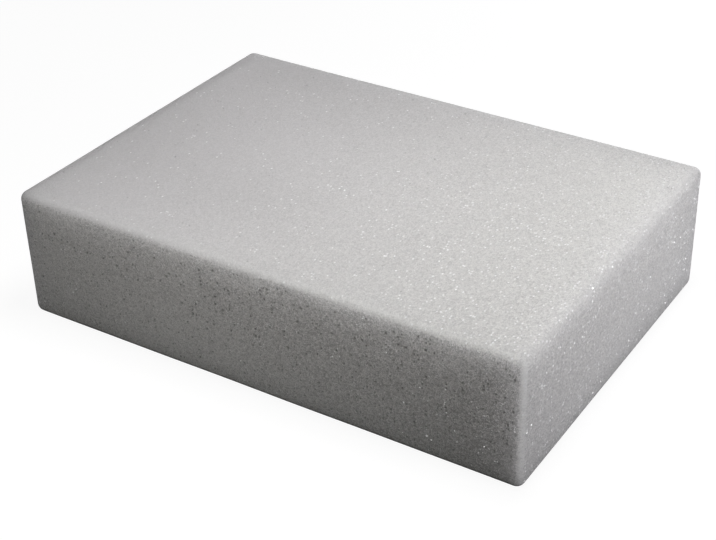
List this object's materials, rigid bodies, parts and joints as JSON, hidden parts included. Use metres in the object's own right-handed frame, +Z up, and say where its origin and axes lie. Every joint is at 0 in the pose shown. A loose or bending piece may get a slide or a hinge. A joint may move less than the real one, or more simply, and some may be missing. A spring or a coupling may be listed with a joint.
{
  "type": "foam block",
  "caption": "Flat rectangular block of soft open-cell foam with lightly rounded edges and corners, used as a pad, a rest or a work surface.",
  "frame": {"origin": "centre of the underside, on the surface that the block rests on", "axes": "+X along the length, +Y across the width, +Z up through the thickness"},
  "size_m": [0.2, 0.14, 0.05],
  "materials": {
    "foam": "matt open-cell foam with fine pores and small bright cell windows"
  },
  "bodies": {
    "root": {"foam_block": "foam"}
  },
  "joints": []
}
